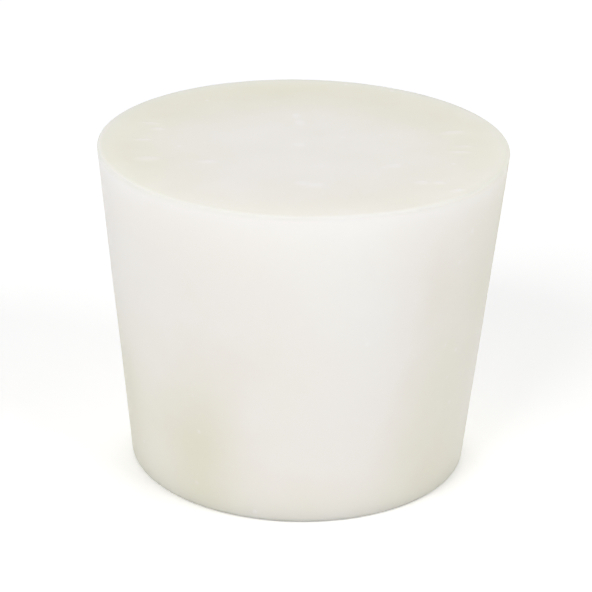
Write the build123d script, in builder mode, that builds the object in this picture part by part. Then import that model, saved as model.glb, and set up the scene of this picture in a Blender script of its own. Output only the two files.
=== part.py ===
from build123d import *
import os

# Solid tapered laboratory stopper, moulded in one piece of silicone rubber.
# It stands on its small end. The origin is the centre of the small end and +Z runs
# up the stopper's axis to the large end. All lengths are in millimetres.

# Ends and length of the plug. Both diameters are taken at the sharp corners that
# the wall would make with the end faces if the rims had no radius.
small_end_diameter = 41.0
large_end_diameter = 49.0
height = 40.0

# Rims: the mould parts at the large end, which is trimmed to a crisp edge. The small
# end comes from the bottom of the cavity and has a soft lead-in for the glass neck.
large_rim_radius = 0.25
small_rim_radius = 0.8

small_end_radius = small_end_diameter / 2
large_end_radius = large_end_diameter / 2

with BuildPart() as stopper:
    # Half section: flat small end, straight tapered wall, flat large end
    with BuildSketch(Plane.XZ):
        with BuildLine():
            small_end = Line((0, 0), (small_end_radius, 0))
            wall = Line(small_end @ 1, (large_end_radius, height))
            large_end = Line(wall @ 1, (0, height))
            Line(large_end @ 1, small_end @ 0)
        make_face()
    revolve(axis=Axis.Z)

    # Each end face meets the wall in one circular rim
    rims = stopper.edges().filter_by(GeomType.CIRCLE).sort_by(Axis.Z)
    fillet(rims[0], radius=small_rim_radius)
    rims = stopper.edges().filter_by(GeomType.CIRCLE).sort_by(Axis.Z)
    fillet(rims[-1], radius=large_rim_radius)

os.makedirs("parts", exist_ok=True)
stopper.part.label = "stopper"
export_step(stopper.part, "parts/stopper.step")
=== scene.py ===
import math
import bpy
import numpy as np
from mathutils import Matrix, Vector


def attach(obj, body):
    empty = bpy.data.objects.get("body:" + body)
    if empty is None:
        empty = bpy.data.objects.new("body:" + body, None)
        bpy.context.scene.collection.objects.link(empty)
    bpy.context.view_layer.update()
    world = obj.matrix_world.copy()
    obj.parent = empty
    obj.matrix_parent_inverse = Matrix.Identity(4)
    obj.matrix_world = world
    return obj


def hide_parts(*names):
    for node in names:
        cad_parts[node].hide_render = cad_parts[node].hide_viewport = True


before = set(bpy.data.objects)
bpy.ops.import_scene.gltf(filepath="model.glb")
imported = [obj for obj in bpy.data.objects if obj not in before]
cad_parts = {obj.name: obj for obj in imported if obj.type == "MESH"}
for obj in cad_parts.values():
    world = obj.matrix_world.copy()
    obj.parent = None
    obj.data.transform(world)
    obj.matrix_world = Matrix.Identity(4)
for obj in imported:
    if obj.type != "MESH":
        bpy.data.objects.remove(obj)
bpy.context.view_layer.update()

# One solid tapered stopper of translucent off-white silicone rubber, standing on its
# small end. All lengths are in metres, with the origin at the centre of the small end.
MM = 0.001

# Shape of the plug, as moulded
SMALL_END_RADIUS = 20.5 * MM
LARGE_END_RADIUS = 24.5 * MM
HEIGHT = 40.0 * MM
SMALL_RIM_RADIUS = 0.8 * MM
LARGE_RIM_RADIUS = 0.25 * MM
TAPER = math.atan2(LARGE_END_RADIUS - SMALL_END_RADIUS, HEIGHT)

# Fineness of the grids. The wall has four times END_CELLS steps around it, so that its
# first and last rings are the edges of the two end faces.
END_CELLS = 160
WALL_ROWS = 50
WALL_GATHER = 0.6
SMALL_RIM_ROWS = 8
LARGE_RIM_ROWS = 6


def rim_path(normal_from, normal_to, tangent_radius, centre_height, rim_radius, rows):
    """Arc of a rim in the half section. Its centre is at the radius where the end face
    stops, and the outward normal turns evenly from one angle to the other."""
    turn = np.linspace(normal_from, normal_to, rows + 1)
    radius = tangent_radius + rim_radius * np.cos(turn)
    height = centre_height + rim_radius * np.sin(turn)
    return radius, height, turn


def side_path():
    """Half section from the edge of the small end to the edge of the large end: a small
    arc, the straight taper and a crisp arc. The rows of the taper gather towards its two
    ends, by a share of a sine. Returns radius, height and the angle of the outward
    normal above the horizontal, one value for each row."""
    small_flat = SMALL_END_RADIUS - SMALL_RIM_RADIUS * math.tan((math.pi / 2 - TAPER) / 2)
    large_flat = LARGE_END_RADIUS - LARGE_RIM_RADIUS * math.tan((math.pi / 2 + TAPER) / 2)
    small = rim_path(-math.pi / 2, -TAPER, small_flat, SMALL_RIM_RADIUS,
                     SMALL_RIM_RADIUS, SMALL_RIM_ROWS)
    large = rim_path(-TAPER, math.pi / 2, large_flat, HEIGHT - LARGE_RIM_RADIUS,
                     LARGE_RIM_RADIUS, LARGE_RIM_ROWS)
    even = np.linspace(0, 1, WALL_ROWS + 1)[1:-1]
    share = even - WALL_GATHER * np.sin(2 * math.pi * even) / (2 * math.pi)
    wall = [low[-1] + (high[0] - low[-1]) * share for low, high in zip(small, large)]
    return [np.concatenate(parts) for parts in zip(small, wall, large)]


def square_to_disc(u, v):
    """Distance from the centre and angle on a unit disc for a point of the square from
    -1 to 1. The distance is the larger of |u| and |v|, so each square ring becomes a
    circle, and the angle runs evenly along each side of the square."""
    distance = np.maximum(np.abs(u), np.abs(v))
    sideways = np.abs(u) >= np.abs(v)
    u_safe = np.where(u == 0, 1, u)
    v_safe = np.where(v == 0, 1, v)
    angle = np.where(sideways, v / u_safe, 2 - u / v_safe) * math.pi / 4
    angle += np.where(np.where(sideways, u, v) < 0, math.pi, 0)
    return distance, angle


# Slow waves in the wall, left by the cure of a thick piece of rubber: how many waves go
# around the plug, how many half waves go up it, start in radians, and share
WALL_WAVES = (
    (2, 1.1, 0.4, 1.0),
    (3, -1.7, 2.1, 0.7),
    (5, 2.6, 4.0, 0.45),
    (8, -3.9, 0.9, 0.3),
)
WALL_WAVE_DEPTH = 0.02 * MM


def slow_waves(angle, height):
    """Unevenness of the wall, as a distance out from the true cone that is never above
    zero: the sum of its slow waves, each a sine of the angle and the height, less the
    highest that the sum can reach."""
    along = height / HEIGHT * math.pi
    wave = 0
    highest = 0
    for around, lean, start, share in WALL_WAVES:
        wave = wave + share * np.sin(around * angle + lean * along + start)
        highest += share
    return WALL_WAVE_DEPTH * (wave - highest)


# The middle of each end sinks a little as the rubber cools
LARGE_END_SINK = 0.12 * MM
SMALL_END_SINK = 0.15 * MM

# Low nibs and scuffs on the large end, given one by one: place across and towards the back,
# half length, half width, all in mm, and slant in degrees. They run across the face.
NIBS = (
    (-18.5, 6.0, 1.2, 0.5, -8),
    (-17.5, 4.0, 0.8, 0.5, -12),
    (-19.0, 0.0, 1.0, 0.4, 0),
    (-18.0, -6.5, 1.4, 0.8, 6),
    (-11.0, -7.0, 1.2, 0.6, 0),
    (-1.0, 10.0, 0.5, 0.9, 0),
    (-0.5, 7.5, 0.6, 1.0, 15),
    (-0.5, -0.5, 0.8, 0.6, 0),
    (0.0, -13.5, 0.9, 0.6, -25),
    (1.5, -14.0, 0.9, 0.6, 25),
    (18.0, 5.0, 1.4, 0.6, 15),
    (19.0, 0.0, 1.0, 0.4, 0),
    (18.5, -2.0, 1.4, 0.4, 0),
    (10.5, -7.0, 0.8, 0.6, 20),
    (13.5, -12.5, 0.8, 0.6, 0),
    (15.5, -12.5, 0.6, 0.5, 0),
    (17.5, -15.0, 0.8, 0.5, 20),
)
NIB_HEIGHT = 0.10 * MM


def nib_mounds(x, y):
    """Share of full height of the raised nibs, each a soft flat-topped mound: e to minus
    the fourth power of the distance from its middle, measured in its own half sizes."""
    share = np.zeros_like(x)
    for across, back, half_length, half_width, degrees in NIBS:
        slant = math.radians(degrees)
        dx = x / MM - across
        dy = y / MM - back
        lengthways = (dx * math.cos(slant) + dy * math.sin(slant)) / half_length
        sideways = (dy * math.cos(slant) - dx * math.sin(slant)) / half_width
        share = np.maximum(share, np.exp(-(lengthways ** 2 + sideways ** 2) ** 2))
    return share


# Tone of the skin, from 0 for milky to 1 for olive, much of it painted light and shade.
# Clouds in the wall are given as angle from the front in degrees, height in mm, half width
# in degrees, half height in mm and strength, and one with a strength below zero is paler
# than the rest.
# The pale clouds at 4 and 16 degrees are a painted highlight, and the pale one high at -70
# degrees is painted light. The olive ones low at -33, -72 and 48 degrees, and those at 96 and -98
# degrees, are painted shade. The two at 150 and -150 degrees are tone that differs by place.
WALL_CLOUDS_AND_PAINTED_LIGHT = (
    (4, 37.0, 34, 10.0, -0.14),
    (16, 22.0, 15, 20.0, -0.22),
    (-33, 8.0, 14, 10.0, 0.42),
    (-70, 34.0, 26, 12.0, -0.22),
    (-72, 8.0, 22, 12.0, 0.45),
    (48, 13.0, 18, 16.0, 0.20),
    (96, 30.0, 40, 28.0, 0.52),
    (-98, 20.0, 30, 26.0, 0.16),
    (150, 9.0, 34, 15.0, 0.20),
    (-150, 31.0, 36, 18.0, -0.12),
)

# Tone of the wall away from its clouds, and the painted shade that the foot adds, fading over its
# reach
WALL_TONE = 0.40
FOOT_PAINTED_SHADE = 0.45
FOOT_REACH = 3.5 * MM

# Tone of the ends: of the pale spot forward of the axis, which is painted light, and of the
# rest, which is painted shade; what the nibs add as a painted highlight, and the painted shade
# that the large rim adds
END_PALE_FORWARD = 5.0 * MM
END_PALE_REACH = 22.0 * MM
END_PAINTED_LIGHT_TONE = 0.48
END_PAINTED_SHADE_TONE = 1.05
NIB_PAINTED_HIGHLIGHT = -0.20
RIM_PAINTED_SHADE = 0.35
RIM_REACH = 0.6 * MM
RIM_BLEND = 0.8 * MM


def wall_tone_with_painted_light(angle_from_front, height):
    """Tone of the wall: an even start, deeper towards the foot by a falling exponential as
    painted shade, plus each cloud as a bell of angle and height."""
    tone = WALL_TONE + FOOT_PAINTED_SHADE * np.exp(-height / FOOT_REACH)
    for degrees, middle, half_width, half_height, strength in WALL_CLOUDS_AND_PAINTED_LIGHT:
        turn = np.degrees(angle_from_front) - degrees
        turn = (turn + 180) % 360 - 180
        rise = (height / MM - middle) / half_height
        tone = tone + strength * np.exp(-(turn / half_width) ** 2 - rise ** 2)
    return tone


def end_painted_light(x, y):
    """Tone of an end face: a pale spot of painted light a little forward of the axis, and painted
    shade deeper near the rim, as one less e to minus the fourth power of the distance from the
    spot."""
    away = np.hypot(x, y + END_PALE_FORWARD) / END_PALE_REACH
    return END_PAINTED_LIGHT_TONE + (END_PAINTED_SHADE_TONE - END_PAINTED_LIGHT_TONE) * (1 - np.exp(-away ** 4))


def tone_with_painted_light(points):
    """Tone at every point of the skin: the wall's and the ends' tones, which change
    into each other over the last part of the radius of each end, a narrow bell of
    painted shade along the rim of the large end, and paler nibs as a painted highlight."""
    x, y, z = points.T
    radius = np.hypot(x, y)
    wall = wall_tone_with_painted_light(np.arctan2(x, -y), z)
    edge = SMALL_END_RADIUS + (LARGE_END_RADIUS - SMALL_END_RADIUS) * z / HEIGHT
    inside = edge - radius
    above = HEIGHT - z
    inwards = np.clip(inside / RIM_BLEND, 0, 1)
    tone = wall + (end_painted_light(x, y) - wall) * inwards
    from_rim = np.hypot(inside, above) / RIM_REACH
    # Painted shade in a narrow bell along the rim of the large end
    tone = tone + RIM_PAINTED_SHADE * np.exp(-from_rim ** 2)
    # Paler nib tops, a painted highlight
    return tone + NIB_PAINTED_HIGHLIGHT * nib_mounds(x, y) * (z > HEIGHT / 2) * inwards


def ring_of_square(grid):
    """Border points of a square grid of point indices, once around, starting at the
    corner where both parameters are lowest and running the way the angle grows."""
    return np.concatenate((grid[:-1, 0], grid[-1, :-1], grid[:0:-1, -1], grid[0, :0:-1]))


def end_face(edge_radius, height, relief):
    """Grid of one end face: a square grid bent into a disc, at a height that is the
    end's own plus its relief at that distance and place."""
    step = np.linspace(-1, 1, END_CELLS + 1)
    u, v = np.meshgrid(step, step, indexing="ij")
    distance, angle = square_to_disc(u, v)
    x = edge_radius * distance * np.cos(angle)
    y = edge_radius * distance * np.sin(angle)
    return np.stack((x, y, height + relief(distance, x, y)), -1).reshape(-1, 3)


def small_end_relief(distance, x, y):
    """Sink of the small end, up into the plug: the square of one less the square of the
    distance from the centre."""
    return SMALL_END_SINK * (1 - distance ** 2) ** 2


def large_end_relief(distance, x, y):
    """The nibs of the large end, less its sink: one less the fourth power of the
    distance from the centre."""
    return NIB_HEIGHT * nib_mounds(x, y) - LARGE_END_SINK * (1 - distance ** 4)


def quads(lower_left, lower_right, upper_right, upper_left):
    """Four-sided faces from four arrays of point indices, one array for each corner."""
    return np.stack((lower_left, lower_right, upper_right, upper_left), -1).reshape(-1, 4)


def stopper_surface():
    """Closed skin of the plug: the small end, the side and the large end. The side is
    the half section turned about the axis, with its slow waves along the normal by the
    square of the normal's cosine, so that they leave the ends flat. Its first and last
    rings are the border points of the two end grids, so the skin has no seam, and each
    end grid is regular at its centre, so it has no pole."""
    radius, height, normal = side_path()
    around = 4 * END_CELLS
    small = end_face(radius[0], 0.0, small_end_relief)
    large = end_face(radius[-1], HEIGHT, large_end_relief)
    angle = np.arange(around) / around * 2 * math.pi - 3 * math.pi / 4
    angle = angle[None, :]
    row_radius, row_height, row_normal = (row[1:-1, None] for row in (radius, height, normal))
    outwards = slow_waves(angle, row_height) * np.cos(row_normal) ** 2
    side_radius = row_radius + outwards * np.cos(row_normal)
    side_height = row_height + outwards * np.sin(row_normal)
    side = np.stack((side_radius * np.cos(angle), side_radius * np.sin(angle),
                     side_height + 0 * angle), -1).reshape(-1, 3)

    points = np.concatenate((small, side, large))
    large_start = len(small) + len(side)
    rows = len(radius) - 2
    middle = len(small) + np.arange(rows * around).reshape(rows, around)
    grid = np.arange(len(small)).reshape(END_CELLS + 1, END_CELLS + 1)
    edge = ring_of_square(grid)
    rings = np.vstack((edge, middle, large_start + edge))
    after = np.roll(rings, -1, axis=1)
    skin = quads(rings[:-1], after[:-1], after[1:], rings[1:])
    face_up = quads(grid[:-1, :-1], grid[1:, :-1], grid[1:, 1:], grid[:-1, 1:])
    return points, np.concatenate((skin, face_up[:, ::-1], face_up + large_start))


def make_piece(name, points, faces, material, tone=None):
    """Mesh object at the origin from arrays of points and four-sided faces, all smooth,
    with a tone for each point where one is given."""
    mesh = bpy.data.meshes.new(name)
    mesh.vertices.add(len(points))
    mesh.vertices.foreach_set("co", points.astype(np.float32).ravel())
    mesh.loops.add(faces.size)
    mesh.loops.foreach_set("vertex_index", faces.astype(np.int32).ravel())
    mesh.polygons.add(len(faces))
    mesh.polygons.foreach_set("loop_start", np.arange(0, faces.size, 4, dtype=np.int32))
    mesh.polygons.foreach_set("use_smooth", np.ones(len(faces), bool))
    mesh.update(calc_edges=True)
    mesh.validate()
    if tone is not None:
        layer = mesh.attributes.new("tone", "FLOAT", "POINT")
        layer.data.foreach_set("value", tone.astype(np.float32))
    mesh.materials.append(material)
    piece = bpy.data.objects.new(name, mesh)
    bpy.context.scene.collection.objects.link(piece)
    return piece


class Nodes:
    """Short way to write a material. Most calls add one node, and return it or the
    output that the next call reads."""

    def __init__(self, tree):
        self.tree = tree
        tree.nodes.clear()

    def add(self, kind, **settings):
        node = self.tree.nodes.new(kind)
        for key, value in settings.items():
            if hasattr(node, key):
                setattr(node, key, value)
            else:
                node.inputs[key].default_value = value
        return node

    def join(self, source, target):
        self.tree.links.new(source, target)

    def feed(self, value, target):
        """Links an output to a socket, or sets the socket to a plain value."""
        if isinstance(value, bpy.types.NodeSocket):
            self.join(value, target)
        else:
            target.default_value = value

    def noise(self, place, steps, detail):
        node = self.add("ShaderNodeTexNoise", Scale=steps, Detail=detail, Roughness=0.5)
        self.join(place, node.inputs["Vector"])
        return node.outputs["Fac"]

    def work_out(self, operation, *values):
        node = self.add("ShaderNodeMath", operation=operation)
        for value, socket in zip(values, node.inputs):
            self.feed(value, socket)
        return node.outputs[0]

    def map_range(self, value, low, high, to_low, to_high):
        node = self.add("ShaderNodeMapRange")
        for given, socket in zip((value, low, high, to_low, to_high), node.inputs):
            self.feed(given, socket)
        return node.outputs["Result"]

    def mix_colour(self, share, first, second):
        node = self.add("ShaderNodeMix", data_type="RGBA")
        colours = [socket for socket in node.inputs if socket.type == "RGBA"]
        self.feed(share, node.inputs["Factor"])
        self.feed(first, colours[0])
        self.feed(second, colours[1])
        return next(socket for socket in node.outputs if socket.type == "RGBA")

    def mix_shader(self, share, first, second):
        node = self.add("ShaderNodeMixShader")
        self.feed(share, node.inputs[0])
        self.join(first.outputs[0], node.inputs[1])
        self.join(second.outputs[0], node.inputs[2])
        return node

    def seen(self):
        """One where a ray shows the background to the camera, straight or by way of a
        gloss or a clear body, and zero where it lights the plug."""
        path = self.add("ShaderNodeLightPath").outputs
        straight_or_gloss = self.work_out("MAXIMUM", path["Is Camera Ray"], path["Is Glossy Ray"])
        return self.work_out("MAXIMUM", straight_or_gloss, path["Is Transmission Ray"])

    def surface(self, shader):
        out = self.add("ShaderNodeOutputMaterial")
        self.join(shader.outputs[0], out.inputs["Surface"])


def new_material(name):
    material = bpy.data.materials.new(name)
    material.use_nodes = True
    return material, Nodes(material.node_tree)


# Natural silicone rubber, by tone: milky, rose-grey over most of the wall, and olive. The tone
# carries painted light and shade, so milky stands where the rubber is lit and olive in its shade
SILICONE_MILKY = (0.906, 0.898, 0.874, 1)
SILICONE_ROSE = (0.893, 0.862, 0.828, 1)
SILICONE_OLIVE = (0.786, 0.766, 0.642, 1)
ROSE_TONE = 0.4
SCATTER_DEPTH = 6.0 * MM
SILICONE_IOR = 1.41
SILICONE_GLOSS = 0.18

# Patterns in the rubber, as pattern steps per metre, and how much each one changes. A
# noise keeps mostly between NOISE_LOW and NOISE_HIGH, and a fleck is whole in its core
# and gone at its edge, both in parts of a pattern step.
NOISE_LOW = 0.3
NOISE_HIGH = 0.7
CLOUD_STEPS = 75
CLOUD_TONE = 0.10
PATCH_STEPS = 190
SATIN_FROM = 0.46
SATIN_TO = 0.60
GRAIN_STEPS = 2600
GRAIN_DEPTH = 0.01 * MM
GRAIN_STRENGTH = 0.25
FLECK_STEPS = 230
FLECK_CORE = 0.03
FLECK_EDGE = 0.09
FLECK_TONE = 0.22


def silicone():
    """Translucent rubber: the skin's tone, which carries painted light and shade, with soft small
    clouds, milky through rose-grey to olive, a satin roughness that changes slowly, a very fine
    grain, and a few pale flecks where a small bubble sits under the skin."""
    material, nodes = new_material("translucent_silicone")
    place = nodes.add("ShaderNodeTexCoord").outputs["Object"]

    # The tone read here holds painted light and shade as well as the rubber's own clouds
    tone = nodes.add("ShaderNodeAttribute", attribute_name="tone").outputs["Fac"]
    clouds = nodes.noise(place, CLOUD_STEPS, detail=3)
    cloud = nodes.map_range(clouds, NOISE_LOW, NOISE_HIGH, -CLOUD_TONE, CLOUD_TONE)
    clouded = nodes.work_out("ADD", tone, cloud)
    bubbles = nodes.add("ShaderNodeTexVoronoi", feature="F1", Scale=FLECK_STEPS)
    nodes.join(place, bubbles.inputs["Vector"])
    fleck = nodes.map_range(bubbles.outputs["Distance"], FLECK_CORE, FLECK_EDGE, 1, 0)
    flecked_tone = nodes.work_out("MULTIPLY_ADD", fleck, -FLECK_TONE, clouded)
    to_rose = nodes.map_range(flecked_tone, 0, ROSE_TONE, 0, 1)
    to_olive = nodes.map_range(flecked_tone, ROSE_TONE, 1, 0, 1)
    soft_colour = nodes.mix_colour(to_rose, SILICONE_MILKY, SILICONE_ROSE)
    rubber_colour = nodes.mix_colour(to_olive, soft_colour, SILICONE_OLIVE)

    patches = nodes.noise(place, PATCH_STEPS, detail=2)
    satin = nodes.map_range(patches, NOISE_LOW, NOISE_HIGH, SATIN_FROM, SATIN_TO)

    grain = nodes.noise(place, GRAIN_STEPS, detail=2)
    skin = nodes.add("ShaderNodeBump", Strength=GRAIN_STRENGTH, Distance=GRAIN_DEPTH)
    nodes.join(nodes.work_out("ADD", grain, fleck), skin.inputs["Height"])

    rubber = nodes.add("ShaderNodeBsdfPrincipled")
    rubber.inputs["Subsurface Weight"].default_value = 1.0
    rubber.inputs["Subsurface Radius"].default_value = (1, 1, 1)
    rubber.inputs["Subsurface Scale"].default_value = SCATTER_DEPTH
    rubber.inputs["IOR"].default_value = SILICONE_IOR
    rubber.inputs["Specular IOR Level"].default_value = SILICONE_GLOSS
    nodes.join(rubber_colour, rubber.inputs["Base Color"])
    nodes.join(satin, rubber.inputs["Roughness"])
    nodes.join(skin.outputs["Normal"], rubber.inputs["Normal"])
    nodes.surface(rubber)
    return material


# Floor: white as it is seen, apart from the plug's shadow, and a little less white to
# the plug, so that the light it throws back stays plain
FLOOR_RADIUS = 1.5
FLOOR_SIDES = 128
FLOOR_OPENING = SMALL_END_RADIUS - SMALL_RIM_RADIUS
WHITE = (1.0, 1.0, 1.0, 1)
FLOOR_LIFT = 0.2
FLOOR_BOUNCE = (0.92, 0.92, 0.91, 1)


def floor_material():
    """White matt card, seen with a little light of its own. From below it is clear."""
    material, nodes = new_material("white_floor")
    lifted = nodes.add("ShaderNodeAddShader")
    card = nodes.add("ShaderNodeBsdfDiffuse", Color=WHITE)
    lift = nodes.add("ShaderNodeEmission", Color=WHITE, Strength=FLOOR_LIFT)
    nodes.join(card.outputs[0], lifted.inputs[0])
    nodes.join(lift.outputs[0], lifted.inputs[1])
    bounce = nodes.add("ShaderNodeBsdfDiffuse", Color=FLOOR_BOUNCE)
    from_above = nodes.mix_shader(nodes.seen(), bounce, lifted)
    underside = nodes.add("ShaderNodeNewGeometry").outputs["Backfacing"]
    nodes.surface(nodes.mix_shader(underside, from_above, nodes.add("ShaderNodeBsdfTransparent")))
    return material


def make_floor():
    """Flat ring from just inside the plug's foot out to the floor's edge. The opening is
    hidden under the plug, and lets the plain light of the room reach its underside."""
    angle = np.arange(FLOOR_SIDES) / FLOOR_SIDES * 2 * math.pi
    ring = np.column_stack((np.cos(angle), np.sin(angle), 0 * angle))
    points = np.concatenate((ring * FLOOR_OPENING, ring * FLOOR_RADIUS))
    inner = np.arange(FLOOR_SIDES)
    after = np.roll(inner, -1)
    faces = quads(inner, inner + FLOOR_SIDES, after + FLOOR_SIDES, after)
    make_piece("floor", points, faces, floor_material())


# Strength of the room's plain light on the plug, where 1 is white
WORLD_LIGHT = 0.37


def make_world():
    """White all round: full white as it is seen, softer as light on the plug."""
    world = bpy.data.worlds.new("studio")
    bpy.context.scene.world = world
    world.use_nodes = True
    nodes = Nodes(world.node_tree)
    sky = nodes.add("ShaderNodeBackground", Color=WHITE)
    nodes.join(nodes.map_range(nodes.seen(), 0, 1, WORLD_LIGHT, 1), sky.inputs["Strength"])
    out = nodes.add("ShaderNodeOutputWorld")
    nodes.join(sky.outputs[0], out.inputs["Surface"])


# Softboxes: name, azimuth and height in degrees as seen from the plug, and power in
# watts. Azimuth 0 is the camera's side. All are square and at the same distance.
SOFTBOXES = (
    ("left_front", -36, 35, 3.2),
    ("right", 54, 35, 2.35),
    ("back", 180, 50, 1.8),
)
SOFTBOX_DISTANCE = 0.9
SOFTBOX_SIDE = 0.5
SOFTBOX_TARGET = Vector((0, 0, HEIGHT / 2))


def make_softbox(name, azimuth, height, power):
    """Square lamp that faces the middle of the plug from its own direction."""
    lamp = bpy.data.lights.new(name, "AREA")
    lamp.shape = "SQUARE"
    lamp.size = SOFTBOX_SIDE
    lamp.energy = power
    box = bpy.data.objects.new(name, lamp)
    bpy.context.scene.collection.objects.link(box)
    turn = math.radians(azimuth)
    rise = math.radians(height)
    away = Vector((math.sin(turn) * math.cos(rise),
                   -math.cos(turn) * math.cos(rise),
                   math.sin(rise)))
    box.location = SOFTBOX_TARGET + away * SOFTBOX_DISTANCE
    box.rotation_mode = "QUATERNION"
    box.rotation_quaternion = away.to_track_quat("Z", "Y")


# The photograph's viewpoint. The lens and the sensor are in millimetres, as Blender's are.
VIEW_AIM = Vector((-0.53, 0, 20.25)) * MM
VIEW_HEIGHT = math.radians(23.1)
VIEW_ROLL = math.radians(1.23)
VIEW_DISTANCE = 0.290
VIEW_LENS = 144.9
VIEW_SENSOR = 36
VIEW_NEAREST = 0.01
VIEW_FARTHEST = 20


def make_camera():
    """Long lens in front of the plug, above it, and rolled a little to its left."""
    data = bpy.data.cameras.new("view")
    data.sensor_width = VIEW_SENSOR
    data.lens = VIEW_LENS
    data.clip_start = VIEW_NEAREST
    data.clip_end = VIEW_FARTHEST
    camera = bpy.data.objects.new("view", data)
    bpy.context.scene.collection.objects.link(camera)
    away = Vector((0, -math.cos(VIEW_HEIGHT), math.sin(VIEW_HEIGHT)))
    camera.matrix_world = (Matrix.Translation(VIEW_AIM + away * VIEW_DISTANCE)
                           @ Matrix.Rotation(math.pi / 2 - VIEW_HEIGHT, 4, "X")
                           @ Matrix.Rotation(VIEW_ROLL, 4, "Z"))
    bpy.context.scene.camera = camera


plug_points, plug_faces = stopper_surface()
plug = make_piece("silicone_plug", plug_points, plug_faces, silicone(),
                  tone_with_painted_light(plug_points))
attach(plug, "root")
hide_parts("stopper")

make_floor()
make_world()
for softbox in SOFTBOXES:
    make_softbox(*softbox)
make_camera()
bpy.context.scene.view_settings.view_transform = "Standard"
